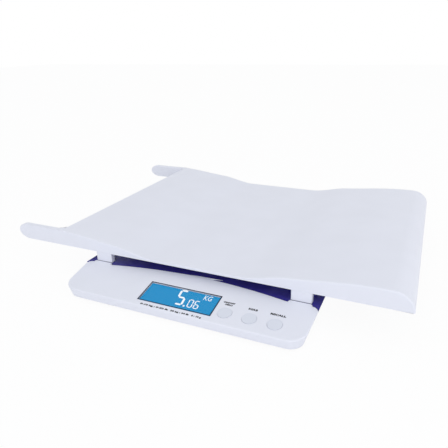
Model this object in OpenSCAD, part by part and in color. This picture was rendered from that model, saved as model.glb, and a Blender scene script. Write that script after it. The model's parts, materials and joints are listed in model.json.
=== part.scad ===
// Digital baby weighing scale: a lift-off tray on four legs over a base with a sloping console.
// Millimetres. +Z is up, -Y is the side that the reader stands at, +X is the baby's foot end.
// The origin is on the floor, below the middle of the whole scale.

/* [Tray] */
// Length of the tray, from the horn tips to the foot edge
tray_l = 550; // [520:5:600]
// Depth of the tray, from its front face to its rear face
tray_d = 370; // [350:5:400]
// Height of the tray's lower edge above the deck
tray_gap = 13.5; // [12:0.5:18]
// Thickness of the tray's moulded wall
tray_wall = 3; // [2:0.5:4]
// Height of the tray at its crests, above its lower edge
crest_h = 22.5; // [18:0.5:28]
// Height of the tray along its low middle, above its lower edge
dip_h = 3.2; // [3:0.1:5]
// Half the length of the low middle
dip_half = 60; // [40:1:70]
// Height of the steep shoulders beside the low middle
shoulder_h = 9; // [6:0.5:10]
// Distance along the tray that a shoulder takes to rise
shoulder_l = 60; // [40:1:70]
// Distance from the legs' middle to where the gentle slopes start
slope_start = 90; // [80:1:110]
// Distance from the legs' middle to where the gentle slopes reach the crests
slope_end = 222; // [200:1:230]
// Distance along the tray that the roll at the foot end takes
roll_l = 25; // [15:1:35]
// Length of the horns, past the head wall
horn_l = 80; // [40:1:100]
// Thickness of the horns, front to rear
horn_t = 8; // [5:0.5:12]
// Length of the horns' rounded tips
horn_tip = 16; // [8:1:20]
// Thickness of the ribs under the tray
rib_t = 2; // [1.5:0.1:3]
// How far the ribs stay above the tray's lower edge
rib_lift = 2; // [1:0.5:4]

/* [Tray legs] */
// Distance from a leg's middle to the base's side
leg_inset = 23; // [20:0.5:32]
// Width of a leg
leg_w = 25; // [22:0.5:26]
// Depth of a leg
leg_d = 8; // [8:0.5:11]
// Distance from the rear legs' middle to the base's rear face
leg_rear_inset = 36; // [30:1:60]
// Width of the spigot below a leg
spigot_w = 15; // [12:0.5:16]
// Depth of the spigot below a leg
spigot_d = 7; // [6.5:0.5:7]
// Length of the spigot below a leg
spigot_l = 8.5; // [7:0.5:8.5]
// Thickness of the rubber pad under a leg
leg_pad_t = 0.6; // [0.5:0.1:2]
// Gap between a spigot and its socket
spigot_gap = 0.3; // [0.2:0.05:0.5]
// Diameter of the tray's bosses over the legs
tray_boss_d = 8; // [7:0.5:10]

/* [Base] */
// Width of the base, at the deck
base_w = 323; // [316:1:334]
// Depth of the base, front to rear
base_d = 352; // [340:2:370]
// Radius of the base's corners, seen from above
base_corner = 20; // [16:1:26]
// How far the base's walls lean in for each millimetre that they go down
lean = 0.3; // [0.1:0.01:0.32]
// How far the walls reach below the base's floor plate
skirt = 3.2; // [1:0.1:3.5]
// Height of the base's floor plate above the floor
base_z = 6; // [5.5:0.5:8]
// How far the base stands toward +X of the tray's middle
base_shift = 16; // [10:1:22]
// How far the console stands out in front of the tray
console_reach = 64; // [62:1:80]
// Thickness of the housings' walls
base_wall = 2.5; // [2:0.1:3]
// Thickness of the base's floor
floor_t = 3; // [2.6:0.1:3.5]
// Gap between the floor plate and the wall around it
floor_gap = 0.2; // [0.1:0.05:0.4]

/* [Console] */
// Height of the console's front edge above the floor plate
front_h = 10.3; // [10:0.1:14]
// Slope of the console, in degrees
tilt = 9.8; // [9:0.1:11]
// Depth of the console at its sides
console_d = 60; // [59:1:62]
// Radius of the console's two rear corners
console_corner = 8; // [7:1:14]
// How far the console's rear edge bows back in its middle
crown = 10.9; // [5:0.1:14]
// Distance from the ends of that bow to the base's sides
crown_inset = 39.5; // [37:0.5:60]
// How far the console's seat in front of a leg reaches past the leg on each side
seat_side = 2; // [1.5:0.5:4]
// Radius of that seat's corners
seat_corner = 3; // [3:0.5:6]
// Thickness of the console's sloping panel
panel_t = 2.5; // [2:0.1:3]

/* [Deck] */
// Height of the deck's upper face above the floor plate
deck_h = 20; // [19.6:0.1:20.4]
// Thickness of the deck
deck_t = 3.5; // [3:0.1:4]
// Thickness of the housing plate below the deck
plate_t = 2.3; // [2:0.1:2.5]
// Gap between the deck and the console
deck_gap = 0.5; // [0.3:0.1:1]
// Distance from the base's front face to the deck's front corners
deck_start = 53; // [50:1:55]

/* [Display] */
// Width of the display window
lens_w = 98; // [90:1:100]
// Height of the display window, up the slope
lens_h = 36; // [32:0.5:37]
// Thickness of the display window
lens_t = 1.5; // [1:0.1:1.8]
// Width of the dark border printed round the window
border = 1; // [0.6:0.1:2]
// Distance up the slope from the front edge to the window's middle
lens_s = 27.2; // [26:0.1:28]
// Width of the ledge that the window lies on
lens_ledge = 1; // [0.8:0.1:3]
// Thickness of the display glass
glass_t = 2.2; // [1.8:0.1:2.4]
// How far the display glass reaches past the opening on each side
glass_lap = 0.5; // [0.3:0.1:1]
// Thickness of the light guide behind the display glass
guide_t = 2.6; // [2:0.1:3]
// Width of the two contact strips beside the light guide
strip_w = 2; // [1.5:0.1:2.5]
// Wall of the frame that holds the display glass
lcd_wall = 1.2; // [1:0.1:1.6]

/* [Buttons] */
// Diameter of the three buttons
button_d = 17; // [14:0.5:18]
// Distance between the buttons' middles
button_pitch = 29.7; // [26:0.1:30]
// Distance from the middle button to the console's right side
button_inset = 69.2; // [65:0.1:75]
// Distance from the display window's middle to the middle button
display_to_button = 92.3; // [90:0.1:100]
// Distance up the slope from the front edge to the buttons' middles
button_s = 19.3; // [17:0.1:20]
// How far a button stands out of the console
button_proud = 0.3; // [0.1:0.1:0.6]
// Travel of a button
button_travel = 0.8; // [0.5:0.1:0.8]
// Gap round a button
button_gap = 0.2; // [0.1:0.05:0.4]
// Width of the lip that keeps a button in the console
button_lip = 1.2; // [0.8:0.1:1.4]
// Thickness of that lip
lip_t = 1; // [0.8:0.1:1.2]
// Length of the stub below a button
stub_l = 0.4; // [0.3:0.1:0.6]
// Width of a switch
switch_w = 6; // [5:0.5:7]
// Diameter of a switch's stem
stem_d = 3.4; // [3:0.1:3.6]
// Gap round a switch's stem
stem_gap = 0.06; // [0.03:0.01:0.1]

/* [Board] */
// Thickness of the main board
board_t = 1.2; // [1:0.1:1.6]
// How far the main board reaches past the display window, to the left
board_reach = 9; // [8:0.5:12]
// Distance from the main board to the console's right side
board_inset = 21.5; // [19:0.5:25]
// Depth of the main board, up the slope
board_h = 38.6; // [38:0.2:40]
// Distance up the slope from the front edge to the board
board_s = 8.4; // [8:0.1:9]

/* [Feet] */
// Distance from a foot's middle to the base's side
foot_inset = 39.5; // [37:0.5:50]
// Distance from the base's front face to the front feet
foot_front = 92; // [90:1:100]
// Distance from the base's rear face to the rear feet
foot_rear = 46; // [44:1:60]
// Diameter of a foot cup
foot_d = 38; // [30:1:40]
// Diameter of a foot cup's hub
hub_d = 16; // [10:1:18]
// Thickness of a foot cup's disc
cup_t = 2.5; // [2:0.1:2.8]
// Diameter of a rubber foot pad
pad_d = 34; // [26:1:36]
// Thickness of a rubber foot pad
pad_t = 2.5; // [2:0.1:2.8]
// Side of a load cell
cell_w = 34; // [30:1:36]
// Thickness of a load cell
cell_t = 2.5; // [2:0.1:3]
// Wall of a load cell's frame
cell_wall = 5; // [4:0.5:6]
// Thickness of a load cell's frame above the cell
cell_roof = 4; // [3:0.5:4]

/* [Batteries] */
// Diameter of a battery
battery_d = 10.5; // [10:0.1:10.6]
// Length of a battery
battery_l = 44.5; // [43:0.5:46]
// Distance from the base's front face to the middle of the battery box
battery_y = 200; // [180:1:220]
// Wall of the battery box
box_wall = 1.2; // [1:0.1:1.5]
// Length of the contact springs
contact_l = 4.5; // [3:0.5:6]
// Thickness of the battery door
door_t = 2; // [1.6:0.1:2.2]
// How far the battery door reaches past its opening
door_lap = 4; // [3:0.5:6]
// Travel of the battery door
door_travel = 9; // [7:0.5:12]
// Gap round the battery door
door_gap = 0.2; // [0.1:0.05:0.3]

/* [Fasteners] */
// Diameter of the housing screws
screw_d = 2.6; // [2:0.1:3]
// Diameter of the board and load cell screws
small_screw_d = 2; // [1.6:0.1:2.2]
// Diameter of the leg screws
leg_screw_d = 2.6; // [2.4:0.1:3]
// Height of a screw's head
head_h = 1.6; // [1.2:0.1:1.8]
// Gap round a screw
screw_gap = 0.1; // [0.05:0.01:0.2]

/* [Hidden] */

white = "#e6e8f2";
indigo = "#3b3a8c";
steel = "#b9bcc2";
rubber = "#3a3a40";
$fn = 64;
eps = 0.01;
// Anything that cuts right through a piece is this much longer than it needs to be
over = 1;
// Gap between pieces that only just clear each other
slack = 0.1;

// Main places
overall_d = console_reach + tray_d;
base_front = -overall_d / 2;
tray_front = base_front + console_reach;
foot_edge = tray_l / 2;
head_wall = -tray_l / 2 + horn_l;
roll_start = foot_edge - roll_l;
floor_top = base_z + floor_t;
panel_z = base_z + front_h;
deck_z = base_z + deck_h;
tray_z = deck_z + tray_gap;
deck_low = deck_z - deck_t;
plate_low = deck_low - plate_t;
leg_z = deck_z + leg_pad_t;
wall_low = base_z - skirt;
leg_span = base_w - 2 * leg_inset;
foot_x = base_w / 2 - foot_inset;
leg_front = console_reach + leg_d / 2;
leg_rear = base_d - leg_rear_inset;
left_right = [-1, 1];

// Depths below the console's face, in the console's own tilted frame
glass_top = -panel_t - slack;
board_top = glass_top - glass_t - guide_t;
board_low = board_top - board_t;
open_w = lens_w - 2 * lens_ledge;
open_h = lens_h - 2 * lens_ledge;
glass_w = open_w + 2 * glass_lap;
glass_h = open_h + 2 * glass_lap;
button_x = base_w / 2 - button_inset;
lens_x = button_x - display_to_button;
board_left = lens_x - lens_w / 2 - board_reach;
board_right = base_w / 2 - board_inset;

// Buttons and switches
lip_top = -panel_t - slack;
lip_r = button_d / 2 + button_lip;
stub_low = lip_top - lip_t - stub_l;
switch_top = stub_low - button_travel - slack;
switch_floor = 0.5;
stem_l = stub_low - board_top - button_travel - slack - switch_floor;
button_xs = [button_x - button_pitch, button_x, button_x + button_pitch];

// Board: posts, screws, chips and plugs
post_d = 5;
post_thread = 3.4;
board_margin = 3.5;
board_screw_places = [
  [board_left + board_margin, board_s + board_h / 4],
  [board_left + board_margin, board_s + board_h - board_margin],
  [button_x - button_pitch / 2, board_s + board_h - board_margin],
  [board_right - board_margin, board_s + board_h / 4],
  [board_right - board_margin, board_s + board_h - board_margin]
];
chip_x = button_x + 4;
chip_w = 8;
chip_h = 1.3;
can_d = 4;
plug_d = 6;
plug_h = 4;

// Housing screws, down both sides and across the back
boss_inset = 14.5;
boss_d = 7;
boss_thread = 4.5;
boss_ys = [boss_inset + 2, base_d / 2, base_d - boss_inset - 2];
small_head_h = 1.2;
function head_d(d) = 1.9 * d;

// Legs and their sockets
socket_wall = 1.2;
socket_low = leg_z - spigot_l - spigot_gap - socket_wall;
leg_head_in = 3;
leg_head_d = 1.8 * leg_screw_d;

// Load cells: the cell lies in its frame, just clear of the floor
cell_lift = 0.5;
cell_z = floor_top + cell_lift;
hub_gap = 0.5;
ear_w = 8;
ear_t = 2.5;
ear_y = cell_w / 2 + cell_wall + ear_w / 2;
ear_thread = 2;
tongue_w = 0.4 * cell_w;
tongue_l = 0.6 * cell_w;
tongue_y = 0.1 * cell_w;
tongue_slot = 2;

// Batteries, their box and its door
battery_count = 4;
battery_gap = 0.3;
contact_t = 0.5;
contact_w = 8;
nub_l = 0.8;
nub_d = 3.8;
spring_d = 6;
spring_end_d = 4;
box_w = battery_count * (battery_d + battery_gap) + battery_gap;
box_l = battery_l + contact_l + 2 * contact_t;
battery_z = base_z + door_t + slack + battery_d / 2;
box_top = battery_z + battery_d / 2 + slack + box_wall;
door_w = box_w + 2 * door_lap;
door_l = box_l + 2 * door_lap;
tab_w = 8;
tab_t = 1;
tab_out = 1;
tab_low = door_t - tab_t - slack;
tab_xs = [-door_w / 4 - tab_w / 2, door_w / 4 - tab_w / 2];
grip_count = 3;
grip_pitch = 3;
grip_h = 0.5;

// Wires
wire_d = 1.8;
wire_pitch = 3;
wire_z = (cell_z + cell_t + cell_roof + plate_low - wire_d / 3) / 2;
low_wire_z = floor_top + wire_d;
wire_turn = console_d + wire_pitch;
cell_plug_x = board_right - 20;
battery_plug_x = button_x - button_pitch;
// A point on a wire's straight start: x from the console's middle, reach out of the plug's rear face
function wire_start(x, reach) = let (s = board_s + board_h + eps + reach, z = board_top + plug_h / 2)
  [x, s * cos(tilt) - z * sin(tilt), panel_z + s * sin(tilt) + z * cos(tilt)];

// ---------- outlines ----------

// A square with true round corners, its front edge on y = 0
module round_square(w, d, r_front, r_rear) {
  difference() {
    translate([-w / 2, 0]) square([w, d]);
    for (s = left_right) {
      translate([s * w / 2, 0]) rotate([0, 0, s > 0 ? 90 : 0]) corner_cut(r_front);
      translate([s * w / 2, d]) rotate([0, 0, s > 0 ? 180 : 270]) corner_cut(r_rear);
    }
  }
}

// What a round corner takes away from a square one
module corner_cut(r) {
  difference() {
    translate([-over, -over]) square(r + over);
    translate([r, r]) circle(r, $fn = 96);
  }
}

// The console from above, drawn in by a margin (a negative margin makes it larger). Its front end
// reaches past the base's body, which gives the console its front and side walls.
module console_plan(inset = 0) {
  crown_half = base_w / 2 - crown_inset;
  crown_r = (crown_half * crown_half + crown * crown) / (2 * crown);
  translate([0, -2 * over])
    round_square(base_w - 2 * inset, console_d + 2 * over - inset, over, console_corner - inset);
  intersection() {
    translate([0, console_d + crown - crown_r]) circle(crown_r - inset, $fn = 240);
    translate([-crown_half, console_d / 2]) square([2 * crown_half, base_w]);
  }
  // A seat in front of each front leg, so that no deck shows between the leg and the console
  seat_d = leg_front - leg_d / 2 - deck_gap - slack - console_d / 2 - inset;
  for (s = left_right) translate([s * leg_span / 2, console_d / 2])
    round_square(leg_w + 2 * (seat_side - inset), seat_d, seat_corner - inset, seat_corner - inset);
}

// Height of the tray's upper face above its lower edge, at a distance from the legs' middle
function ease(t) = t <= 0 ? 0 : t >= 1 ? 1 : t * t * (3 - 2 * t);
function rise(u) = dip_h
  + shoulder_h * ease((u - dip_half) / shoulder_l)
  + (crest_h - dip_h - shoulder_h) * ease((u - slope_start) / (slope_end - slope_start));
// The same with the roll at the foot end, for a wall that lies a depth under the face
function roll(x, depth) = x <= roll_start ? 1
  : sqrt(max(0, 1 - pow((x - roll_start) / (roll_l - depth), 2)));
function tray_top(x, depth = 0) = (rise(abs(x - base_shift)) - depth) * roll(x, depth);

// Stations along the tray: even steps, then steps that follow the roll's curve
steps = 60;
roll_steps = 12;
function stations(a, b, n) = [for (i = [0 : n]) a + (b - a) * i / n];
function roll_stations(depth) = [
  for (i = [1 : roll_steps]) roll_start + (roll_l - depth) * sin(90 * i / roll_steps)
];

// The tray's outline seen from the front, with its horn
module tray_side() {
  xs = concat(stations(head_wall, roll_start, steps), roll_stations(0));
  polygon(concat(
    [[head_wall, 0]],
    [for (x = xs) [x, tray_top(x)]]
  ));
}

module horn_side() {
  horn_h = tray_top(head_wall);
  tip_x = -tray_l / 2 + horn_tip;
  polygon(concat(
    [[head_wall + tray_wall, 0], [head_wall + tray_wall, horn_h]],
    [for (a = [90 : 10 : 270]) [tip_x + horn_tip * cos(a), horn_h / 2 * (1 + sin(a))]]
  ));
}

// The two hollows under the tray, seen from the front
module hollow_side(side) {
  inner = base_shift + side * (dip_half + shoulder_l / 2);
  xs = side < 0
    ? stations(head_wall + tray_wall, inner, steps / 4)
    : concat(stations(inner, roll_start, steps / 4), roll_stations(tray_wall));
  polygon(concat(
    [[xs[0], -over]],
    [for (x = xs) [x, tray_top(x, tray_wall)]],
    [[xs[len(xs) - 1], -over]]
  ));
}

// How deep the leg screws go into the tray
leg_thread = min(10, tray_top(base_shift + leg_span / 2, tray_wall));

// ---------- frames to draw in ----------

// Base frame: x from the base's middle, y from its front face, z from the floor
module at_base() translate([base_shift, base_front, 0]) children();

// Console frame: x from the console's middle, y up its slope, z out of its face
module at_panel() at_base() translate([0, 0, panel_z]) rotate([tilt, 0, 0]) children();

// Stands a shape drawn in x and z up, from a y onward
module standing(y, depth)
  translate([0, y + depth, 0]) rotate([90, 0, 0]) linear_extrude(depth) children();

// Lays a shape drawn in y and z along x, to a reach on each side
module lying(reach)
  translate([-reach, 0, 0]) rotate([90, 0, 90]) linear_extrude(2 * reach) children();

module at_leg(side, row)
  at_base() translate([side * leg_span / 2, row < 0 ? leg_front : leg_rear, 0]) children();
module at_legs() for (side = left_right, row = left_right) at_leg(side, row) children();
module at_foot(side, row)
  at_base() translate([side * foot_x, row < 0 ? foot_front : base_d - foot_rear, 0]) children();
module at_feet() for (side = left_right, row = left_right) at_foot(side, row) children();
module at_ears() for (end = left_right) at_feet() translate([0, end * ear_y, 0]) children();
module at_buttons() for (x = button_xs) at_panel() translate([x, button_s, 0]) children();
module at_board_screws()
  for (place = board_screw_places) at_panel() translate([place[0], place[1], 0]) children();
module at_bosses() {
  for (side = left_right) at_base() {
    for (y = boss_ys) translate([side * (base_w / 2 - boss_inset), y, 0]) children();
    translate([side * base_w / 6, base_d - boss_inset, 0]) children();
  }
}
// The battery box's frame stands on the base's lower face
module at_box() at_base() translate([0, battery_y, base_z]) children();
module at_battery(i)
  at_base() translate([(i - (battery_count - 1) / 2) * (battery_d + battery_gap), battery_y, battery_z])
    children();

module block(w, d, h) translate([-w / 2, -d / 2, 0]) cube([w, d, h]);

// ---------- tray ----------

module tray_shell() {
  color(white) translate([0, 0, tray_z]) difference() {
    union() {
      standing(tray_front, tray_d) tray_side();
      standing(tray_front, horn_t) horn_side();
      standing(tray_front + tray_d - horn_t, horn_t) horn_side();
    }
    for (side = left_right) difference() {
      standing(tray_front + tray_wall, tray_d - 2 * tray_wall) hollow_side(side);
      tray_ribs(side);
      translate([0, 0, -tray_z]) at_legs() translate([0, 0, tray_z]) cylinder(h = crest_h, d = tray_boss_d);
    }
    translate([0, 0, -tray_z]) at_legs()
      translate([0, 0, tray_z - over]) cylinder(h = leg_thread + over, d = leg_screw_d + 2 * screw_gap);
  }
}

// One rib through the rear legs' bosses, one halfway between them and the front legs' bosses
module tray_ribs(side) {
  ends = side < 0 ? [head_wall, base_shift] : [base_shift, foot_edge];
  for (y = [leg_rear, (leg_front + leg_rear) / 2])
    translate([ends[0], base_front + y - rib_t / 2, rib_lift]) cube([ends[1] - ends[0], rib_t, crest_h]);
}

module leg(side, row) {
  low = leg_z - spigot_l;
  color(white) at_leg(side, row) difference() {
    union() {
      translate([0, 0, leg_z]) block(leg_w, leg_d, tray_z - leg_z);
      translate([0, 0, low]) block(spigot_w, spigot_d, spigot_l + eps);
    }
    translate([0, 0, low - over]) cylinder(h = tray_z - low + 2 * over, d = leg_screw_d + 2 * screw_gap);
    translate([0, 0, low - over]) cylinder(h = leg_head_in + over, d = leg_head_d + 2 * screw_gap);
  }
}

module leg_screws() {
  low = leg_z - spigot_l + leg_head_in;
  for (side = left_right, row = left_right) color(steel) at_leg(side, row) {
    translate([0, 0, low]) cylinder(h = tray_z + leg_thread - slack - low, d = leg_screw_d);
    translate([0, 0, low - head_h]) cylinder(h = head_h, d = leg_head_d);
  }
}

// The pads ride on the legs: each is glued under its leg, around the spigot
module leg_pads() {
  color(rubber) at_legs() translate([0, 0, deck_z]) difference() {
    block(leg_w, leg_d, leg_pad_t);
    translate([0, 0, -over]) block(spigot_w + 2 * slack, spigot_d + 2 * slack, leg_pad_t + 2 * over);
  }
}

// ---------- base shells ----------

// The base's body between two heights, drawn in by a margin. Its walls lean in toward the floor: at the
// front from the console's edge down, elsewhere from the deck's level down. Its corners are cones.
module base_body(inset, low, high) {
  side = [for (z = [low, high]) base_w / 2 - (deck_z - z) * lean - inset];
  front = [for (z = [low, high]) (panel_z - z) * lean + inset];
  rear = [for (z = [low, high]) base_d - (deck_z - z) * lean - inset];
  corner_front = [base_w / 2 - base_corner - (deck_z - panel_z) * lean, base_corner];
  corner_rear = [base_w / 2 - base_corner, base_d - base_corner];
  standing(corner_front[1], corner_rear[1] - corner_front[1])
    polygon([[-side[0], low], [side[0], low], [side[1], high], [-side[1], high]]);
  lying(corner_front[0]) polygon([[front[0], low], [base_d / 2, low], [base_d / 2, high], [front[1], high]]);
  lying(corner_rear[0]) polygon([[base_d / 2, low], [rear[0], low], [rear[1], high], [base_d / 2, high]]);
  for (s = left_right) {
    translate([s * corner_front[0], corner_front[1], low])
      cylinder(h = high - low, r1 = corner_front[1] - front[0], r2 = corner_front[1] - front[1]);
    translate([s * corner_rear[0], corner_rear[1], low])
      cylinder(h = high - low, r1 = rear[0] - corner_rear[1], r2 = rear[1] - corner_rear[1]);
  }
}

// All of the base's width and depth, up to a height
module below(top) translate([-base_w, -base_d, -over]) cube([2 * base_w, 3 * base_d, top + over]);

module top_housing() {
  color(white) difference() {
    union() {
      difference() {
        intersection() {
          at_base() base_body(0, wall_low, deck_z + panel_t);
          at_base() union() {
            below(deck_low);
            linear_extrude(deck_z + 2 * panel_t) console_plan();
          }
          under_panel(0);
        }
        housing_hollow();
      }
      intersection() {
        at_bosses() translate([0, 0, floor_top]) cylinder(h = deck_low - floor_top - slack, d = boss_d);
        under_panel(panel_t / 2);
      }
      at_board_screws() translate([0, 0, board_top]) cylinder(h = -board_top - panel_t / 2, d = post_d);
      at_legs() translate([0, 0, socket_low]) socket_block(socket_wall, plate_low - socket_low + slack);
    }
    at_bosses() translate([0, 0, floor_top - over])
      cylinder(h = boss_thread + over, d = screw_d + 2 * screw_gap);
    at_board_screws() translate([0, 0, board_top - over])
      cylinder(h = post_thread + over, d = small_screw_d + 2 * screw_gap);
    at_legs() translate([0, 0, socket_low + socket_wall]) socket_block(0, deck_z);
    at_panel() translate([lens_x, lens_s, -lens_t])
      block(lens_w + 2 * slack, lens_h + 2 * slack, lens_t + over);
    at_panel() translate([lens_x, lens_s, -panel_t - over]) block(open_w, open_h, panel_t + 2 * over);
    at_buttons() translate([0, 0, -panel_t - over])
      cylinder(h = panel_t + 2 * over, d = button_d + 2 * button_gap);
  }
}

// All that lies deeper than a depth under the console's face
module under_panel(depth) {
  reach = 2 * (base_w + base_d);
  at_panel() translate([-reach / 2, -reach / 2, -reach - depth]) cube([reach, reach, reach]);
}

// The room inside the base, open at the bottom
module housing_hollow() {
  intersection() {
    at_base() base_body(base_wall, wall_low - over, deck_z + panel_t);
    at_base() union() {
      below(plate_low);
      linear_extrude(deck_z + 2 * panel_t) console_plan(base_wall);
    }
    under_panel(panel_t);
  }
}

module socket_block(grow, h)
  block(spigot_w + 2 * spigot_gap + 2 * grow, spigot_d + 2 * spigot_gap + 2 * grow, h);

module bottom_housing() {
  color(white) difference() {
    union() {
      at_base() base_body(base_wall + floor_gap, base_z, floor_top);
      at_box() block(box_w + 2 * box_wall, box_l + 2 * box_wall, box_top - base_z);
    }
    at_box() translate([0, 0, -over]) block(box_w, box_l, box_top - box_wall - base_z + over);
    at_box() door_recess();
    at_feet() translate([0, 0, base_z - over]) cylinder(h = floor_t + 2 * over, d = hub_d + 2 * hub_gap);
    at_bosses() translate([0, 0, base_z - over]) {
      cylinder(h = floor_t + 2 * over, d = screw_d + 2 * screw_gap);
      cylinder(h = head_h + slack + over, d = head_d(screw_d) + 2 * screw_gap);
    }
    at_ears() translate([0, 0, floor_top - ear_thread])
      cylinder(h = ear_thread + over, d = small_screw_d + 2 * screw_gap);
  }
}

// The door's seat: a shallow recess with room to slide, and a groove with two ways out on each long side
module door_recess() {
  w = door_w + 2 * door_gap + door_travel;
  translate([door_travel / 2, 0, -over]) block(w, door_l + 2 * door_gap, door_t + slack + over);
  for (x = tab_xs, side = left_right) {
    groove = door_l / 2 + tab_out + door_gap;
    translate([x - tab_w / 2 - slack, side > 0 ? 0 : -groove, tab_low - slack])
      cube([tab_w + door_travel + 2 * door_gap, groove, tab_t + 2 * slack]);
    translate([x - tab_w / 2 + door_travel - slack, side > 0 ? 0 : -groove, -over])
      cube([tab_w + 2 * door_gap, groove, tab_low + tab_t + over]);
  }
}

module battery_door() {
  color(white) at_box() {
    translate([0, 0, 0]) block(door_w, door_l, door_t);
    for (x = tab_xs) translate([x, 0, tab_low]) block(tab_w, door_l + 2 * tab_out, tab_t);
    for (i = [1 : grip_count])
      translate([door_w / 2 - grip_pitch * i, 0, -grip_h])
        block(grip_pitch / 2, door_l / 3, grip_h + eps);
  }
}

// ---------- deck ----------

module deck_panel() {
  color(indigo) difference() {
    at_base() base_body(0, deck_low, deck_z);
    at_base() linear_extrude(deck_z + over) console_plan(-deck_gap);
    at_base() translate([-base_w, -base_d, 0]) cube([2 * base_w, base_d + deck_start, deck_z + over]);
    at_legs() translate([0, 0, deck_low - over]) socket_block(0, deck_t + 2 * over);
  }
}

// ---------- display ----------

module display_lens() color("#2f8ec8")
  at_panel() translate([lens_x, lens_s, -lens_t]) block(lens_w, lens_h, lens_t);

module display_glass() color("#2f8ec8")
  at_panel() translate([lens_x, lens_s, board_top + guide_t]) block(glass_w, glass_h, glass_t);

module light_guide() color("white") at_panel() translate([lens_x, lens_s, board_top])
  block(glass_w, glass_h - 2 * (strip_w + slack), guide_t);

module contact_strips() {
  for (side = left_right) color(rubber) at_panel()
    translate([lens_x, lens_s + side * (glass_h - strip_w) / 2, board_top]) block(glass_w, strip_w, guide_t);
}

module display_frame() {
  color(white) at_panel() translate([lens_x, lens_s, board_top]) difference() {
    block(glass_w + 2 * (slack + lcd_wall), glass_h + 2 * (slack + lcd_wall), guide_t + glass_t);
    translate([0, 0, -over]) block(glass_w + 2 * slack, glass_h + 2 * slack, guide_t + glass_t + 2 * over);
  }
}

// ---------- board ----------

module main_board() {
  color("seagreen") difference() {
    at_panel() translate([board_left, board_s, board_low]) cube([board_right - board_left, board_h, board_t]);
    at_board_screws() translate([0, 0, board_low - over])
      cylinder(h = board_t + 2 * over, d = small_screw_d + 2 * screw_gap);
  }
}

module board_chips() {
  color("dimgray") at_panel() translate([0, board_s + board_h, board_top]) {
    translate([chip_x, -chip_w]) block(chip_w, chip_w, chip_h);
    translate([chip_x + 1.5 * chip_w, -chip_w]) block(0.8 * chip_w, 0.6 * chip_w, chip_h);
    for (i = [1, 2]) translate([chip_x - chip_w, -2 * i * can_d]) cylinder(h = 3 * chip_h, d = can_d);
  }
}

module board_connectors() {
  color("ivory") at_panel() translate([0, board_s + board_h - plug_d / 2, board_top]) {
    translate([cell_plug_x, 0]) block(4 * wire_pitch + 2, plug_d, plug_h);
    translate([battery_plug_x, 0]) block(2 * wire_pitch + 2, plug_d, plug_h);
  }
}

module board_screws() {
  for (i = [0 : len(board_screw_places) - 1]) color(steel) at_panel()
    translate([board_screw_places[i][0], board_screw_places[i][1], board_low]) {
      cylinder(h = board_t + post_thread - slack, d = small_screw_d);
      translate([0, 0, -small_head_h]) cylinder(h = small_head_h, d = head_d(small_screw_d));
    }
}

// ---------- buttons and switches ----------

module button(i) {
  color("#dcdfea") at_panel() translate([button_xs[i], button_s, 0]) {
    translate([0, 0, lip_top - lip_t]) cylinder(h = lip_t - lip_top + button_proud, d = button_d);
    translate([0, 0, lip_top - lip_t]) cylinder(h = lip_t, r = lip_r);
    translate([0, 0, stub_low]) cylinder(h = stub_l + eps, d = 1.5 * stem_d);
  }
}

module stem(i) color(rubber)
  at_panel() translate([button_xs[i], button_s, stub_low - stem_l]) cylinder(h = stem_l, d = stem_d);

module switch(i) {
  color("dimgray") at_panel() translate([button_xs[i], button_s, board_top]) difference() {
    block(switch_w, switch_w, switch_top - board_top);
    translate([0, 0, stub_low - stem_l - button_travel - slack - board_top])
      cylinder(h = deck_h, d = stem_d + 2 * stem_gap);
  }
}

// ---------- load cells and feet ----------

// A steel plate with a tongue: the foot pushes the tongue up, the frame holds the rim down
module load_cell(side, row) {
  color(steel) at_foot(side, row) translate([0, 0, cell_z]) difference() {
    block(cell_w, cell_w, cell_t);
    difference() {
      translate([0, tongue_y, -over]) block(tongue_w + 2 * tongue_slot, tongue_l, cell_t + 2 * over);
      translate([0, tongue_y + tongue_slot, -2 * over]) block(tongue_w, tongue_l, cell_t + 4 * over);
    }
  }
}

module cell_frame(side, row) {
  wide = cell_w + 2 * cell_wall;
  color("#c9ccd6") difference() {
    at_foot(side, row) translate([0, 0, floor_top]) difference() {
      union() {
        block(wide, wide, cell_z + cell_t - floor_top + cell_roof);
        block(ear_w, wide + 2 * ear_w, ear_t);
      }
      room = cell_z + cell_t - floor_top;
      translate([0, 0, -over]) block(cell_w + 2 * slack, cell_w + 2 * slack, room + over);
      translate([0, 0, -over]) cylinder(h = 2 * deck_h, d = hub_d);
      translate([side > 0 ? -wide : 0, -wire_d, -over]) cube([wide, 2 * wire_d, room + over]);
    }
    at_ears() translate([0, 0, base_z]) cylinder(h = deck_h, d = small_screw_d + 2 * screw_gap);
  }
}

module foot(side, row) {
  color("#c9ccd6") at_foot(side, row) {
    translate([0, 0, pad_t]) cylinder(h = cup_t, d = foot_d);
    translate([0, 0, pad_t]) cylinder(h = cell_z - pad_t, d = hub_d);
  }
}

module foot_pad(side, row) color(rubber) at_foot(side, row) cylinder(h = pad_t, d = pad_d);

module cell_screws() {
  for (side = left_right, row = left_right, end = left_right) color(steel)
    at_foot(side, row) translate([0, end * ear_y, floor_top + ear_t]) {
      translate([0, 0, -ear_t - ear_thread + slack])
        cylinder(h = ear_t + ear_thread - slack, d = small_screw_d);
      cylinder(h = small_head_h, d = head_d(small_screw_d));
    }
}

module housing_screws() {
  color(steel) at_bosses() translate([0, 0, base_z + slack]) {
    cylinder(h = head_h, d = head_d(screw_d));
    cylinder(h = floor_t + boss_thread - 2 * slack, d = screw_d);
  }
}

// ---------- batteries ----------

module batteries() {
  for (i = [0 : battery_count - 1]) color("#5a6a4a") at_battery(i) {
    translate([0, contact_l / 2, 0]) rotate([90, 0, 0]) {
      translate([0, 0, -battery_l / 2 + nub_l]) cylinder(h = battery_l - nub_l, d = battery_d);
      translate([0, 0, -battery_l / 2]) cylinder(h = nub_l + eps, d = nub_d);
    }
  }
}

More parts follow.
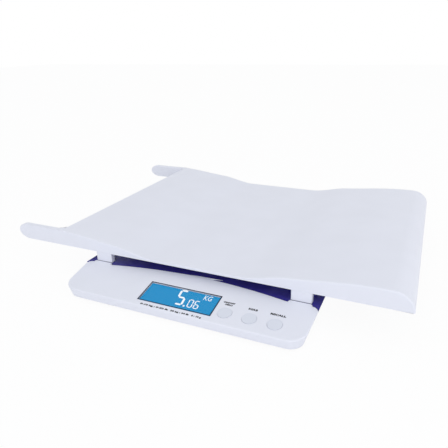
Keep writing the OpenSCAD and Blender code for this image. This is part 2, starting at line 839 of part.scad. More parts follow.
module battery_contacts() {
  for (i = [0 : battery_count - 1]) color(steel) at_battery(i) {
    for (end = left_right) translate([0, end * (box_l - contact_t) / 2, -contact_w / 2])
      block(contact_w, contact_t, contact_w);
    translate([0, -(box_l / 2 - contact_t) + contact_l, 0]) rotate([90, 0, 0])
      cylinder(h = contact_l + eps, d1 = spring_end_d, d2 = spring_d);
  }
}

// ---------- wires ----------

// A wire through a list of points, with a small ball in each bend
module wire(points) {
  for (i = [1 : len(points) - 1]) {
    step = points[i] - points[i - 1];
    translate(points[i - 1]) rotate([0, acos(step[2] / norm(step)), atan2(step[1], step[0])])
      cylinder(h = norm(step), d = wire_d, $fn = 24);
  }
  for (i = [1 : len(points) - 2]) translate(points[i]) sphere(d = wire_d + slack, $fn = 24);
}

// From its plug a cell's wire goes back to its turning line, along that to its lane, and down into the frame
module cell_wire(side, row, pin) {
  x = cell_plug_x + (pin - 1.5) * wire_pitch;
  start = wire_start(x, wire_d);
  lane = side * (foot_x - cell_w / 2 - cell_wall - wire_pitch * (row < 0 ? 2 : 4));
  turn = wire_turn + pin * wire_pitch;
  goal = row < 0 ? foot_front : base_d - foot_rear;
  wire([
    wire_start(x, 0),
    start,
    [x, start[1] + 2 * wire_d, wire_z],
    [x, turn, wire_z],
    [lane, turn, wire_z],
    [lane, goal, wire_z],
    [lane, goal, cell_z + cell_t / 2],
    [side * (foot_x - cell_w / 2), goal, cell_z + cell_t / 2]
  ]);
}

module cell_wires() {
  color("crimson") at_base() {
    cell_wire(-1, -1, 0);
    cell_wire(-1, 1, 1);
    cell_wire(1, 1, 2);
    cell_wire(1, -1, 3);
  }
}

// The battery box's wires drop behind the board and pass below the cells' wires
module battery_wires() {
  color("crimson") at_base() for (i = [0, 1]) {
    x = battery_plug_x + (i - 0.5) * wire_pitch;
    start = wire_start(x, wire_d);
    goal = [(i - 0.5) * 4 * wire_pitch, battery_y - box_l / 2 - box_wall];
    wire([
      wire_start(x, 0),
      start,
      [x, start[1] + wire_d, low_wire_z],
      [goal[0], goal[1] - 8 * wire_d, low_wire_z],
      [goal[0], goal[1], low_wire_z]
    ]);
  }
}

// ---------- one line for each piece ----------

top_housing();
bottom_housing();
deck_panel();
display_lens();
display_glass();
light_guide();
contact_strips();
display_frame();
main_board();
board_chips();
board_connectors();
button(0);  // power_button
button(1);  // unit_button
button(2);  // memory_button
stem(0);  // power_stem
stem(1);  // unit_stem
stem(2);  // memory_stem
switch(0);  // power_switch
switch(1);  // unit_switch
switch(2);  // memory_switch
load_cell(-1, -1);  // cell_front_left
load_cell(1, -1);  // cell_front_right
load_cell(-1, 1);  // cell_rear_left
load_cell(1, 1);  // cell_rear_right
cell_frame(-1, -1);  // cell_frame_front_left
cell_frame(1, -1);  // cell_frame_front_right
cell_frame(-1, 1);  // cell_frame_rear_left
cell_frame(1, 1);  // cell_frame_rear_right
foot(-1, -1);  // foot_front_left
foot(1, -1);  // foot_front_right
foot(-1, 1);  // foot_rear_left
foot(1, 1);  // foot_rear_right
foot_pad(-1, -1);  // foot_pad_front_left
foot_pad(1, -1);  // foot_pad_front_right
foot_pad(-1, 1);  // foot_pad_rear_left
foot_pad(1, 1);  // foot_pad_rear_right
battery_door();
batteries();
battery_contacts();
tray_shell();
leg(-1, -1);  // leg_front_left
leg(1, -1);  // leg_front_right
leg(-1, 1);  // leg_rear_left
leg(1, 1);  // leg_rear_right
leg_pads();
leg_screws();
housing_screws();
board_screws();
cell_screws();
cell_wires();
battery_wires();
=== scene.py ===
# %% [markdown]
# # A digital baby weighing scale, dressed for its picture
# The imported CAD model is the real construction: a white base with a sloping console, an indigo deck behind
# it, and a curved tray that lifts off on four legs. Here it gets its surfaces: rounded edges, moulded
# plastic, a lit display, plain printed words, and the light of a plain studio. Everything is in metres, in
# the CAD's frame: +Z is up, -Y is the front, +X is the foot end of the tray.

# %% Load the model
import json
import math
import bpy
import bmesh
from mathutils import Matrix, Vector

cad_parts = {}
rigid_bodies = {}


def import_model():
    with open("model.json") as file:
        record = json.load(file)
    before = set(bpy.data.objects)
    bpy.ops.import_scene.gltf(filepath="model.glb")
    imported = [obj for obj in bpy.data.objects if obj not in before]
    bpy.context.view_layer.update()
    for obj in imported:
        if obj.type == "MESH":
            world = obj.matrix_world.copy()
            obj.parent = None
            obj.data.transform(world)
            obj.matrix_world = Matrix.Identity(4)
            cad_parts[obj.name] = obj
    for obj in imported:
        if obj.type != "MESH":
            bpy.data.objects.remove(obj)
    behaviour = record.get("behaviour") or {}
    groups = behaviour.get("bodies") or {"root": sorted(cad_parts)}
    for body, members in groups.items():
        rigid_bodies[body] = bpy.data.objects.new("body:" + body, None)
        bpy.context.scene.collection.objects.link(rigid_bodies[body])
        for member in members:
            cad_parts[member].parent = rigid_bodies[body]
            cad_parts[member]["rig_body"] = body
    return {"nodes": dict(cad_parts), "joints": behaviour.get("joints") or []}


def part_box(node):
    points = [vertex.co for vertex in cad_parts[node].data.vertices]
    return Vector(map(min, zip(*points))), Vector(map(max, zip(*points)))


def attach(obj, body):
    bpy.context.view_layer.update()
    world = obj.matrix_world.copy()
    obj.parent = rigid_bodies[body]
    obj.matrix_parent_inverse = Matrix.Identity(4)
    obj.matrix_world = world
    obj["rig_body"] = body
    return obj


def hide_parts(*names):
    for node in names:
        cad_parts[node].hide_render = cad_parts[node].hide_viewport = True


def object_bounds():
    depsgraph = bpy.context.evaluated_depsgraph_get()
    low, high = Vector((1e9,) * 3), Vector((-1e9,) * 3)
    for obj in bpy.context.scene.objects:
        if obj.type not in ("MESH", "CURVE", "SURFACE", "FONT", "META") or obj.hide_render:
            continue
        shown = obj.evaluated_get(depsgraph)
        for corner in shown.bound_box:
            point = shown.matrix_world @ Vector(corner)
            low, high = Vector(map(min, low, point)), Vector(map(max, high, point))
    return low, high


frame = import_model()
cad_low, cad_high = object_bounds()
mm = 0.001
print("nodes:", len(frame["nodes"]), "box:", [round((h - l) / mm) for l, h in zip(cad_low, cad_high)], "mm")

# %% [markdown]
# ## The camera
# The photograph shows the scale from the right of its console and from above. The camera's place was worked
# out from straight edges of the base, the legs, the tray and the display, so it is set by numbers and not by
# eye. The focal length is in pixels of a square picture 448 pixels wide, and Blender wants it in millimetres
# on a sensor 36 mm wide.

# %% Set up the camera
picture_px = 448
focal_px = 455.94
camera_data = bpy.data.cameras.new("photo_camera")
camera_data.sensor_width = 36
camera_data.lens = focal_px / picture_px * camera_data.sensor_width
camera = bpy.data.objects.new("photo_camera", camera_data)
bpy.context.scene.collection.objects.link(camera)
bpy.context.scene.camera = camera

def aim(place_mm, yaw, pitch, roll):
    """Puts the camera at a place; yaw turns it toward -X, pitch tips it down, roll turns the picture."""
    yaw, pitch, roll = map(math.radians, (yaw, pitch, roll))
    ahead = Vector((-math.sin(yaw) * math.cos(pitch), math.cos(yaw) * math.cos(pitch), -math.sin(pitch)))
    right = Vector((math.cos(yaw), math.sin(yaw), 0))
    up = right.cross(ahead)
    right, up = (math.cos(roll) * right + math.sin(roll) * up, math.cos(roll) * up - math.sin(roll) * right)
    turn = Matrix((right, up, -ahead)).transposed().to_4x4()
    camera.matrix_world = Matrix.Translation(Vector(place_mm) * mm) @ turn

camera_place_mm = (262.77, -600.24, 303.98)
aim(camera_place_mm, yaw=24.443, pitch=21.702, roll=-1.059)
camera_data.clip_start, camera_data.clip_end = 0.01, 20
print("lens:", round(camera_data.lens, 2), "mm")

# %% [markdown]
# ## Colours and nodes
# A colour picked from a picture is in sRGB, while Blender's shaders work in linear light. One function turns
# a hex value into linear numbers. Another adds a shader node with its settings and links, which keeps each
# material readable as a list of steps.

# %% Helpers for colours and nodes
def colour(hex_value):
    """The linear RGBA of an sRGB hex colour."""
    parts = [int(hex_value[i:i + 2], 16) / 255 for i in (1, 3, 5)]
    return [c / 12.92 if c <= 0.04045 else ((c + 0.055) / 1.055) ** 2.4 for c in parts] + [1]

def add_node(tree, kind, links=None, **settings):
    """Adds a node. A setting names an attribute or an input; links maps an input to an output socket."""
    node = tree.nodes.new("ShaderNode" + kind)
    for name, value in settings.items():
        if hasattr(node, name) and name not in node.inputs:
            setattr(node, name, value)
    for name, value in settings.items():
        socket = name.replace("_", " ")
        if socket in node.inputs:
            node.inputs[socket].default_value = value
    for name, output in (links or {}).items():
        tree.links.new(output, node.inputs[name])
    return node

def new_material(name):
    """An empty material and its node tree."""
    material = bpy.data.materials.new(name)
    material.use_nodes = True
    material.node_tree.nodes.clear()
    return material, material.node_tree

def finish_material(tree, shader):
    """Joins a shader to the material's output."""
    add_node(tree, "OutputMaterial", {"Surface": shader.outputs[0]})

# %% [markdown]
# ## Moulded plastic
# Most of the scale is ABS, injection moulded in a mould with a fine satin surface. Its gloss is soft and its
# colour hardly varies. A grain of a few tenths of a millimetre breaks up the gloss, and a slow wave over a
# few centimetres is the slight sink and flow of a large moulding.

# %% Moulded plastic
mould_grain_mm = 0.35
sink_wave_mm = 45
mould_depth_mm = 0.05

def moulded_plastic(name, hex_value, roughness, grain=0.04, coat=0.0, tone=0.01, gloss=0.5):
    """ABS from a mould: soft gloss, a fine grain and a faint change of tone."""
    material, tree = new_material(name)
    place = add_node(tree, "TexCoord")
    fine = add_node(tree, "TexNoise", {"Vector": place.outputs["Object"]}, Scale=1 / (mould_grain_mm * mm),
        Detail=2)
    slow = add_node(tree, "TexNoise", {"Vector": place.outputs["Object"]}, Scale=1 / (sink_wave_mm * mm),
        Detail=1)
    base = colour(hex_value)
    tones = add_node(tree, "ValToRGB", {"Fac": slow.outputs["Fac"]})
    tones.color_ramp.elements[0].position, tones.color_ramp.elements[1].position = 0.3, 0.7
    tones.color_ramp.elements[0].color = [c * (1 - tone) for c in base[:3]] + [1]
    tones.color_ramp.elements[1].color = [min(1, c * (1 + tone)) for c in base[:3]] + [1]
    rough = add_node(tree, "MapRange", {"Value": fine.outputs["Fac"]}, To_Min=roughness * 0.92,
        To_Max=roughness * 1.08)
    bump = add_node(tree, "Bump", {"Height": fine.outputs["Fac"]}, Strength=grain,
        Distance=mould_depth_mm * mm)
    shader = add_node(tree, "BsdfPrincipled", {"Base Color": tones.outputs["Color"],
        "Roughness": rough.outputs["Result"], "Normal": bump.outputs["Normal"]}, IOR=1.53, Coat_Weight=coat,
        Coat_Roughness=0.03, Specular_IOR_Level=gloss)
    finish_material(tree, shader)
    return material

white_abs = moulded_plastic("satin_moulded_white_ABS", "#E9EBF6", 0.42)
button_abs = moulded_plastic("satin_moulded_button_ABS", "#DFE3EF", 0.45)
grey_abs = moulded_plastic("textured_moulded_grey_ABS", "#C2C5CF", 0.55, grain=0.1)
indigo_abs = moulded_plastic("glossy_moulded_indigo_ABS", "#3B3594", 0.12, grain=0.0, coat=0.3, tone=0.04,
    gloss=0.4)
black_plastic = moulded_plastic("matt_moulded_black_nylon", "#26262B", 0.6)
ivory_nylon = moulded_plastic("natural_nylon", "#E4DCC6", 0.5)
print("plastics:", len(bpy.data.materials))

# %% [markdown]
# ## The other finishes
# Screws are zinc plated, and the load cells and battery contacts are nickel plated steel, so these are metals
# with fine streaks from drawing or turning. The feet are rubber from a blasted mould, so they are matt. The
# display glows from behind, and its cover is clear acrylic. The words are screen printed, which is a thin
# layer of matt ink.

# %% Metal, rubber and light
def plain_metal(name, hex_value, roughness, grain_mm):
    """Sheet or turned metal, with the faint streaks that rolling or a tool leaves."""
    material, tree = new_material(name)
    place = add_node(tree, "TexCoord")
    stretch = add_node(tree, "Mapping", {"Vector": place.outputs["Object"]}, Scale=(1, 0.05, 1))
    streaks = add_node(tree, "TexNoise", {"Vector": stretch.outputs[0]}, Scale=1 / (grain_mm * mm), Detail=3)
    gloss = add_node(tree, "MapRange", {"Value": streaks.outputs["Fac"]}, To_Min=roughness * 0.7,
        To_Max=roughness * 1.3)
    bump = add_node(tree, "Bump", {"Height": streaks.outputs["Fac"]}, Strength=0.1, Distance=0.02 * mm)
    shader = add_node(tree, "BsdfPrincipled", {"Roughness": gloss.outputs["Result"],
        "Normal": bump.outputs["Normal"]}, Base_Color=colour(hex_value), Metallic=1)
    finish_material(tree, shader)
    return material

def moulded_rubber(name, hex_value):
    """Rubber from a blasted mould: matt, with a slight bloom."""
    material, tree = new_material(name)
    place = add_node(tree, "TexCoord")
    grain = add_node(tree, "TexNoise", {"Vector": place.outputs["Object"]}, Scale=1 / (0.5 * mm), Detail=3)
    tones = add_node(tree, "ValToRGB", {"Fac": grain.outputs["Fac"]})
    base = colour(hex_value)
    tones.color_ramp.elements[0].color = [c * 0.8 for c in base[:3]] + [1]
    tones.color_ramp.elements[1].color = [c * 1.25 for c in base[:3]] + [1]
    bump = add_node(tree, "Bump", {"Height": grain.outputs["Fac"]}, Strength=0.3, Distance=0.05 * mm)
    shader = add_node(tree, "BsdfPrincipled", {"Base Color": tones.outputs["Color"],
        "Normal": bump.outputs["Normal"]}, Roughness=0.8, IOR=1.5, Sheen_Weight=0.1)
    finish_material(tree, shader)
    return material

def lit(name, hex_value):
    """A dark surface that glows from behind by itself, such as a lit display."""
    material, tree = new_material(name)
    shader = add_node(tree, "BsdfPrincipled", Base_Color=colour("#0A1018"), Roughness=0.3,
        Emission_Color=colour(hex_value), Emission_Strength=1.0, Specular_IOR_Level=0.1)
    finish_material(tree, shader)
    return material

nickel = plain_metal("nickel_plated_spring_steel", "#C9C7C2", 0.3, 0.4)
zinc = plain_metal("zinc_plated_steel", "#B4B6BA", 0.35, 0.3)
black_rubber = moulded_rubber("moulded_black_rubber", "#2C2C30")
grey_rubber = moulded_rubber("moulded_grey_rubber", "#8E9098")
display_blue = lit("lit_blue_liquid_crystal", "#168CC6")
segment_white = lit("lit_white_segments", "#F6FBFF")
print_ink = moulded_plastic("screen_printed_ink", "#101016", 0.6, grain=0.0, gloss=0.2)
border_ink = moulded_plastic("dark_border_ink", "#0C1A30", 0.5, grain=0.0, gloss=0.2)
solder_green = moulded_plastic("solder_resist_on_glass_epoxy", "#1F6B45", 0.35)
film_green = moulded_plastic("shrink_film", "#4C6A3C", 0.25, coat=0.4)
wire_red = moulded_plastic("extruded_PVC", "#B3312C", 0.4)
milky = moulded_plastic("milky_acrylic", "#F2F4F7", 0.3)

clear_acrylic, tree = new_material("hard_coated_clear_acrylic")
finish_material(tree, add_node(tree, "BsdfPrincipled", Base_Color=colour("#8FA6B8"), Roughness=0.08, IOR=1.49,
    Specular_IOR_Level=0.3, Alpha=0.02))
print("materials:", len(bpy.data.materials))

# %% [markdown]
# ## Dress the CAD's own solids
# The solids that are right as they are keep their meshes and get a finish. A moulding never has a knife edge,
# so a bevel of a few tenths of a millimetre rounds each one. The weld joins the corners that the CAD mesh
# holds once per face, and weighted normals keep the flat faces flat between the rounded edges.

# %% Finishes by node
weld_mm = 0.002
finishes = {
    "top_housing": white_abs, "bottom_housing": white_abs, "deck_panel": indigo_abs,
    "display_lens": clear_acrylic, "display_glass": display_blue, "light_guide": milky,
    "contact_strips": black_rubber, "display_frame": white_abs, "main_board": solder_green,
    "board_chips": black_plastic, "board_connectors": ivory_nylon, "battery_door": white_abs,
    "batteries": film_green, "battery_contacts": nickel, "tray_shell": white_abs, "leg_pads": grey_rubber,
    "leg_screws": zinc, "housing_screws": zinc, "board_screws": zinc, "cell_screws": zinc,
    "cell_wires": wire_red, "battery_wires": wire_red,
}
starts = {
    "leg_": white_abs, "cell_frame": grey_abs, "cell_": nickel, "foot_pad": black_rubber, "foot_": grey_abs,
}
ends = {"_button": button_abs, "_stem": black_plastic, "_switch": black_plastic}

def finish_of(name):
    """The material of a CAD node, by its whole name or by how the name starts or ends."""
    if name in finishes:
        return finishes[name]
    for word, material in starts.items():
        if name.startswith(word):
            return material
    return next(material for word, material in ends.items() if name.endswith(word))

def soften(piece, width_mm):
    """Rounds a piece's sharp edges and shades it smoothly between them."""
    weld = piece.modifiers.new("weld", "WELD")
    weld.merge_threshold = weld_mm * mm
    bevel = piece.modifiers.new("edge", "BEVEL")
    bevel.width, bevel.segments = width_mm * mm, 3
    bevel.limit_method, bevel.angle_limit = "ANGLE", math.radians(35)
    for polygon in piece.data.polygons:
        polygon.use_smooth = True
    piece.modifiers.new("normals", "WEIGHTED_NORMAL")

usual_edge_mm = 0.25
edge_mm = {"deck_panel": 0.5, "display_lens": 0.15, "display_glass": 0.1, "leg_pads": 0.1}
for name, node in frame["nodes"].items():
    node.data.materials.clear()
    node.data.materials.append(finish_of(name))
    soften(node, edge_mm.get(name, usual_edge_mm))
print("dressed:", len(frame["nodes"]))

# %% [markdown]
# ## The white mouldings
# The tray, its legs and the base top show most, and a real mould gives their edges different radii: generous
# on the outside, tight where two parts meet. One bevel modifier has one width, so these are made again as
# meshes of their own. Each starts from the CAD solid, whose flat areas are first joined into single faces,
# and then gets its radii edge by edge.

# %% Helpers for moulded shells
def solid_copy(name):
    """A bmesh of a CAD node, with its corners welded and its flat areas joined into single faces."""
    mesh = bmesh.new()
    mesh.from_mesh(frame["nodes"][name].data)
    bmesh.ops.remove_doubles(mesh, verts=mesh.verts, dist=weld_mm * mm)
    bmesh.ops.dissolve_limit(mesh, angle_limit=math.radians(0.05), verts=mesh.verts, edges=mesh.edges)
    mesh.normal_update()
    return mesh

def round_edges(mesh, wanted, radius_mm, segments):
    """Rounds the edges that a test picks from their two faces and their middle."""
    picked = [e for e in mesh.edges if len(e.link_faces) == 2
        and wanted(e.link_faces[0], e.link_faces[1], (e.verts[0].co + e.verts[1].co) / 2)]
    bmesh.ops.bevel(mesh, geom=picked, offset=radius_mm * mm, segments=segments, profile=0.5,
        affect="EDGES", clamp_overlap=False)
    mesh.normal_update()
    return len(picked)

def moulding(mesh, name, node, material):
    """Turns a bmesh into a piece that stands for a CAD node and rides where it rides."""
    data = bpy.data.meshes.new(name)
    mesh.to_mesh(data)
    mesh.free()
    data.materials.append(material)
    for polygon in data.polygons:
        polygon.use_smooth = True
    piece = bpy.data.objects.new(name, data)
    bpy.context.scene.collection.objects.link(piece)
    piece.modifiers.new("normals", "WEIGHTED_NORMAL")
    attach(piece, frame["nodes"][node]["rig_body"])
    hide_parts(node)
    return piece

def faces_along(face, axis):
    """Whether a face looks along an axis, either way."""
    return abs(face.normal[axis]) > 0.99

def angle_between(a, b):
    """The angle in degrees between the ways that two faces look."""
    return math.degrees(a.normal.angle(b.normal))

# %% [markdown]
# ## The tray
# A curved sheet with straight front and rear rails, moulded in one piece. The rails run on past the head wall
# as two horns. Where a horn meets the head wall the mould has a fillet of 8 mm, the upper rim has a radius of
# 2 mm, and the lower edges, where the two halves of the mould met, have half a millimetre.

# %% Tray
tray_low, tray_high = map(Vector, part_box("tray_shell"))
horn_length, horn_thick = 80 * mm, 8 * mm
head_wall_x = tray_low.x + horn_length
near = 0.05 * mm
sharp_degrees = 60

def outer_side(face):
    """The tray's front or rear face."""
    y = face.calc_center_median().y
    return faces_along(face, 1) and (abs(y - tray_low.y) < near or abs(y - tray_high.y) < near)

def horn_side(face):
    """A horn's face toward the other horn."""
    centre = face.calc_center_median()
    return (faces_along(face, 1) and centre.x < head_wall_x + near
        and min(abs(centre.y - tray_low.y - horn_thick), abs(centre.y - tray_high.y + horn_thick)) < near)

def head_wall(face):
    """The wall that closes the tray at its head end."""
    return faces_along(face, 0) and abs(face.calc_center_median().x - head_wall_x) < near

def looks_up(face):
    """Whether a face belongs to the tray's upper side."""
    return face.normal.z > 0.05 and abs(face.normal.y) < 0.1

def horn_corner(a, b, middle):
    """The inner corner between a horn and the head wall."""
    return (head_wall(a) and horn_side(b)) or (head_wall(b) and horn_side(a))

def lower_rim(a, b, middle):
    """The lower edges of the outer walls, and of the hollows between the ribs."""
    return ((a.normal.z < -0.99) != (b.normal.z < -0.99) and middle.z < tray_low.z + near
        and angle_between(a, b) > 50)

def rim(a, b, middle):
    """The upper rim all round: sides, horns, head wall; and the horns' round tips."""
    for side, other in ((a, b), (b, a)):
        tip = abs(other.normal.y) < 0.1 and other.normal.z > -0.99 and middle.x < head_wall_x
        fillet = abs(other.normal.z) < 0.1 and not outer_side(other) and not head_wall(other)
        if outer_side(side) and (looks_up(other) or tip):
            return True
        if horn_side(side) and (looks_up(other) or (tip and not fillet)):
            return True
        if head_wall(side) and looks_up(other):
            return True
    return False

tray_mesh = solid_copy("tray_shell")
print("horn corners:", round_edges(tray_mesh, horn_corner, 8, 6))
print("rim edges:", round_edges(tray_mesh, rim, 2, 5))
print("lower edges:", round_edges(tray_mesh, lower_rim, 0.5, 2))
tray = moulding(tray_mesh, "tray_moulding", "tray_shell", white_abs)
print("tray:", len(tray.data.polygons), "faces")

# %% [markdown]
# ## The tray's legs
# Four blocks carry the tray, each with a spigot that drops into a socket of the base. Their upright corners
# have a radius of 1.6 mm and the sharp edges that are left are broken by 0.2 mm.

# %% Tray legs
spigot_high = 9 * mm

def leg_corner(a, b, middle):
    """The upright corners of the leg itself, above its spigot."""
    return (abs(a.normal.z) < 0.1 and abs(b.normal.z) < 0.1 and angle_between(a, b) > sharp_degrees
        and middle.z > leg_low.z + spigot_high)

def sharp(a, b, middle):
    """Any sharp edge."""
    return angle_between(a, b) > sharp_degrees

for name in ("leg_front_left", "leg_front_right", "leg_rear_left", "leg_rear_right"):
    leg_low = Vector(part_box(name)[0])
    leg_mesh = solid_copy(name)
    count = round_edges(leg_mesh, leg_corner, 1.6, 4), round_edges(leg_mesh, sharp, 0.2, 2)
    moulding(leg_mesh, name + "_moulding", name, white_abs)
    print(name, "edges:", count)

# %% [markdown]
# ## The base top
# One moulding again: its sloping console carries the display and the buttons, and runs under the deck as a
# plate. The console's rim is rounded by 2 mm all round and the lower edge by 0.8 mm. The display's recess and
# the button holes are broken by 0.2 mm only, so that the gaps round the buttons stay thin.

# %% Base top
base_low, base_high = map(Vector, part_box("top_housing"))
tilt = math.asin(abs(next(j for j in frame["joints"] if j["name"] == "unit_press")["axis"][1]))
panel_normal = Vector((0, -math.sin(tilt), math.cos(tilt)))
lens_low, lens_high = map(Vector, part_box("display_lens"))
hole_reach = 3 * mm
side_strip, front_strip, rear_strip = 19 * mm, 6 * mm, 9 * mm

def panel_face(face):
    """Whether a face is the console's slope."""
    return face.normal.dot(panel_normal) > 0.9999

def inside_panel(middle):
    """Whether an edge belongs to a hole in the console, and not to its rim."""
    holes = [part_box(name) for name in ("display_lens", "power_button", "unit_button", "memory_button")]
    return any(all(low[axis] - hole_reach < middle[axis] < high[axis] + hole_reach for axis in (0, 1))
        for low, high in holes)

def console_rim(a, b, middle):
    """The edges round the console's slope."""
    return panel_face(a) != panel_face(b) and not inside_panel(middle)

def lower_edge(a, b, middle):
    """The lower edges of the outer walls, in a strip along each side of the base."""
    down = a.normal.z < -0.99 or b.normal.z < -0.99
    at_edge = middle.z < base_low.z + near
    outside = (middle.x < base_low.x + side_strip or middle.x > base_high.x - side_strip
        or middle.y < base_low.y + front_strip or middle.y > base_high.y - rear_strip)
    wall = a if abs(a.normal.z) < 0.5 else b
    outward = wall.normal.dot(middle - (base_low + base_high) / 2) > 0
    return down and at_edge and outside and outward and angle_between(a, b) > sharp_degrees

def hole_edge(a, b, middle):
    """The sharp edges of the display's recess and of the button holes."""
    return (panel_face(a) or panel_face(b)) and inside_panel(middle) and angle_between(a, b) > sharp_degrees

base_mesh = solid_copy("top_housing")
print("console rim:", round_edges(base_mesh, console_rim, 2, 5))
print("lower edges:", round_edges(base_mesh, lower_edge, 0.8, 3))
print("hole edges:", round_edges(base_mesh, hole_edge, 0.2, 2))
base_top = moulding(base_mesh, "base_top_moulding", "top_housing", white_abs)
print("base top:", len(base_top.data.polygons), "faces")

# %% [markdown]
# ## Things that lie flat on the console
# Printed words, the display's border and its digits are thin shapes on a sloping face. They are drawn in the
# console's own frame: x to the right from the console's middle, y up the slope from its front edge, z out of
# its face. One function turns outlines drawn there into thin solids, another does the same with words.

# %% Helpers for flat shapes
ink_mm = 0.04
front_height = 10.3 * mm
plate_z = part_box("bottom_housing")[0][2]
console = (Matrix.Translation(((base_low.x + base_high.x) / 2, base_low.y, plate_z + front_height))
    @ Matrix.Rotation(tilt, 4, "X"))

def flat_shapes(name, outlines, height, thick, material):
    """Thin solids on the console, from outlines in mm; height is where their upper face lies."""
    mesh = bmesh.new()
    for outline in outlines:
        for z, step in ((height, 1), (height - thick, -1)):
            mesh.faces.new([mesh.verts.new((x * mm, y * mm, z * mm)) for x, y in outline[::step]])
        count = len(outline)
        mesh.verts.ensure_lookup_table()
        top, low = mesh.verts[-2 * count:-count], mesh.verts[-count:][::-1]
        for i in range(count):
            j = (i + 1) % count
            mesh.faces.new((top[j], top[i], low[i], low[j]))
    return place_on_console(mesh, name, material)

def place_on_console(mesh, name, material):
    """Finishes a mesh that was drawn in the console's frame, as a piece of the base."""
    mesh.transform(console)
    bmesh.ops.recalc_face_normals(mesh, faces=mesh.faces)
    data = bpy.data.meshes.new(name)
    mesh.to_mesh(data)
    mesh.free()
    data.materials.append(material)
    piece = bpy.data.objects.new(name, data)
    bpy.context.scene.collection.objects.link(piece)
    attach(piece, "base")
    return piece

def lettering(name, words, left, low, width, tall, material, bold, height=0.0):
    """Words on the console, fitted to a box in mm: its left and lower edges, its width and height."""
    curve = bpy.data.curves.new(name, "FONT")
    curve.body, curve.extrude, curve.offset = words, ink_mm / 2, bold
    curve.resolution_u = 3
    writer = bpy.data.objects.new(name + "_curve", curve)
    bpy.context.scene.collection.objects.link(writer)
    bpy.context.view_layer.update()
    data = bpy.data.meshes.new_from_object(writer.evaluated_get(bpy.context.evaluated_depsgraph_get()))
    bpy.data.objects.remove(writer)
    mesh = bmesh.new()
    mesh.from_mesh(data)
    bpy.data.meshes.remove(data)
    bmesh.ops.remove_doubles(mesh, verts=mesh.verts, dist=1e-5)
    xs, ys = [v.co.x for v in mesh.verts], [v.co.y for v in mesh.verts]
    for v in mesh.verts:
        v.co.x = (left + (v.co.x - min(xs)) / (max(xs) - min(xs)) * width) * mm
        v.co.y = (low + (v.co.y - min(ys)) / (max(ys) - min(ys)) * tall) * mm
        v.co.z = (height + (ink_mm if v.co.z > 0 else 0)) * mm
    return place_on_console(mesh, name, material)

# %% [markdown]
# ## The display
# A blue liquid crystal display with white segments, behind a clear cover with a dark border printed round it.
# The segments are in the glass, 2.55 mm under the console's face, and each digit is made of up to seven bars
# with pointed ends, as the real electrodes are. The reading is a plain weight.

# %% Border of the display
lens_w, lens_h, border, lens_gap = 98, 36, 1.3, 0.1
lens_x = ((lens_low + lens_high) / 2 - console.translation).x / mm
lens_s = (console.inverted() @ ((lens_low + lens_high) / 2)).y / mm
half_w, half_h = lens_w / 2 - lens_gap, lens_h / 2 - lens_gap

def rectangle(x0, y0, x1, y1):
    """The outline of a box from its lower left to its upper right corner."""
    return [(x0, y0), (x1, y0), (x1, y1), (x0, y1)]

left, right, low, high = lens_x - half_w, lens_x + half_w, lens_s - half_h, lens_s + half_h
border_strips = [rectangle(left, low, right, low + border), rectangle(left, high - border, right, high),
    rectangle(left, low + border, left + border, high - border),
    rectangle(right - border, low + border, right, high - border)]
flat_shapes("display_border", border_strips, ink_mm, ink_mm, border_ink)
print("display at", round(lens_x, 1), round(lens_s, 1), "mm")

# %% Digits of the display
segments_of = {"0": "abcdef", "5": "acdfg", "6": "acdefg"}
glass_depth = 2.55
lean = -0.1

def bar(x0, y0, x1, y1, stroke):
    """A bar with pointed ends between two points, one of them straight above or beside the other."""
    half = stroke / 2
    if y0 == y1:
        return [(x0, y0), (x0 + half, y0 - half), (x1 - half, y1 - half), (x1, y1), (x1 - half, y1 + half),
            (x0 + half, y0 + half)]
    return [(x0, y0), (x0 + half, y0 + half), (x1 + half, y1 - half), (x1, y1), (x1 - half, y1 - half),
        (x0 - half, y0 + half)]

def digit(figure, left, low, width, tall, stroke, gap=0.25):
    """The bars of a seven segment figure, with a slight lean."""
    half, x0, x1 = stroke / 2, left + stroke / 2, left + width - stroke / 2
    y0, y1, y2 = low + half, low + tall / 2, low + tall - half
    bars = {"a": (x0 + gap, y2, x1 - gap, y2), "g": (x0 + gap, y1, x1 - gap, y1),
        "d": (x0 + gap, y0, x1 - gap, y0),
        "f": (x0, y1 + gap, x0, y2 - gap), "b": (x1, y1 + gap, x1, y2 - gap),
        "e": (x0, y0 + gap, x0, y1 - gap), "c": (x1, y0 + gap, x1, y1 - gap)}
    return [[(x + lean * (y - low), y) for x, y in bar(*bars[part], stroke)] for part in segments_of[figure]]

def circle(x, y, radius, points=16):
    """The outline of a disc."""
    return [(x + radius * math.cos(2 * math.pi * i / points), y + radius * math.sin(2 * math.pi * i / points))
        for i in range(points)]

shift_x, shift_y = -1.8, 2.6
reading = digit("5", -1.9 + shift_x, 14.8 + shift_y, 11.4, 27, 2.7)
reading += digit("0", 15.2 + shift_x, 14.6 + shift_y, 6.6, 14, 1.3)
reading += digit("6", 23.4 + shift_x, 14.6 + shift_y, 6.4, 14, 1.3)
reading += [circle(11.9 + shift_x, 15.4 + shift_y, 1.3)]
flat_shapes("display_segments", reading, -glass_depth, ink_mm, segment_white)
lettering("display_unit", "KG", 29.2 + shift_x, 32.3 + shift_y, 10.2, 8.3, segment_white, bold=0.0,
    height=-glass_depth)
print("segments:", len(reading))

# %% [markdown]
# ## The printing
# Small bold capitals name the three buttons, and one line under the display gives plain numbers and units.
# Screen printing leaves a layer of ink a few hundredths of a millimetre thick.

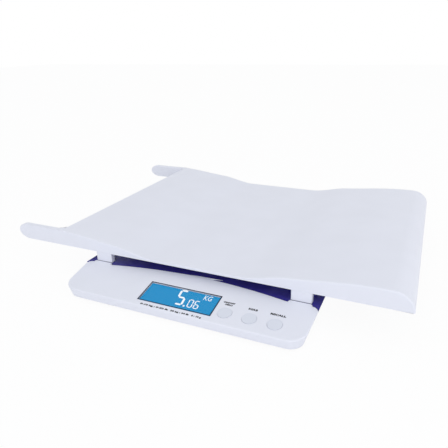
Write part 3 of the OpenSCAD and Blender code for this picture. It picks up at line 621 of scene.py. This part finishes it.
# %% Words on the console
labels = [
    ("label_on_off", "ON/OFF", 54.1, 35.4, 14.4, 2.6), ("label_zero", "ZERO", 57.0, 32.0, 9.8, 2.4),
    ("label_unit", "KG/LB", 86.2, 32.9, 11.0, 3.1), ("label_recall", "RECALL", 112.2, 32.9, 18.4, 3.1),
    ("numbers_left", "0-10 kg : 0-22 lb", -40.6, 1.7, 38.2, 3.1),
    ("numbers_middle", "20 kg : 44 lb", 0.4, 1.7, 24.4, 3.1),
    ("numbers_right", "5 : 10 g", 28, 1.7, 12.4, 3.1),
]
for name, words, left, low, width, tall in labels:
    lettering(name, words, left, low, width, tall, print_ink, bold=0.06)
print("words:", len(labels))

# %% [markdown]
# ## The studio
# The photograph has a plain white ground and soft light that comes from the right and from above. Here one
# large soft box gives that side, another fills the front, and an even pale world does the rest. The white
# that the camera sees, straight or in a reflection, is kept apart from the light that falls on the scale, so
# the white ground never lights it. A share of the floor stays matt, to hold the scale's soft shadow.

# %% Floor and world
scene = bpy.context.scene
scene.view_settings.view_transform = "Standard"

def seen_directly(tree):
    """1 where a ray sees a surface, straight, in a reflection or through glass, and 0 where it lights."""
    path = add_node(tree, "LightPath")
    first = add_node(tree, "Math", {0: path.outputs["Is Camera Ray"], 1: path.outputs["Is Glossy Ray"]},
        operation="MAXIMUM")
    return add_node(tree, "Math", {0: first.outputs[0], 1: path.outputs["Is Transmission Ray"]},
        operation="MAXIMUM").outputs[0]

floor_half = 6
white_share = 0.94
floor_mesh = bpy.data.meshes.new("floor")
corners = [(-floor_half, -floor_half, 0), (floor_half, -floor_half, 0), (floor_half, floor_half, 0),
    (-floor_half, floor_half, 0)]
floor_mesh.from_pydata(corners, [], [(0, 1, 2, 3)])
floor = bpy.data.objects.new("floor", floor_mesh)
scene.collection.objects.link(floor)
floor.location.z = cad_low[2] - 0.2 * mm
paper, tree = new_material("white_paper_floor")
matt = add_node(tree, "BsdfPrincipled", Base_Color=colour("#FAFAFB"), Roughness=0.9)
glow = add_node(tree, "Emission", Color=(1, 1, 1, 1), Strength=1.0)
share = add_node(tree, "Math", {0: seen_directly(tree)}, operation="MULTIPLY")
share.inputs[1].default_value = white_share
floor_shader = add_node(tree, "MixShader", {0: share.outputs[0], 1: matt.outputs[0], 2: glow.outputs[0]})
finish_material(tree, floor_shader)
floor_mesh.materials.append(paper)

world = bpy.data.worlds.new("studio")
scene.world = world
world.use_nodes = True
tree = world.node_tree
tree.nodes.clear()
soft = add_node(tree, "Background", Color=(0.96, 0.98, 1, 1), Strength=0.74)
white = add_node(tree, "Background", Color=(1, 1, 1, 1), Strength=1.0)
mixed = add_node(tree, "MixShader", {0: seen_directly(tree), 1: soft.outputs[0], 2: white.outputs[0]})
add_node(tree, "OutputWorld", {"Surface": mixed.outputs[0]})

# %% Lamps
def soft_box(name, place, target, size, power):
    """A square studio light that faces a point."""
    light = bpy.data.lights.new(name, "AREA")
    light.shape, light.size, light.energy = "SQUARE", size, power
    lamp = bpy.data.objects.new(name, light)
    scene.collection.objects.link(lamp)
    lamp.location = place
    lamp.rotation_euler = (Vector(target) - Vector(place)).to_track_quat("-Z", "Y").to_euler()

soft_box("key_light", (1.35, -0.5, 1.1), (0, 0, 0), 1.4, 5)
soft_box("front_light", (0.2, -2.1, 0.8), (0, 0, 0), 1.8, 8)
print("lights:", len(bpy.data.lights))
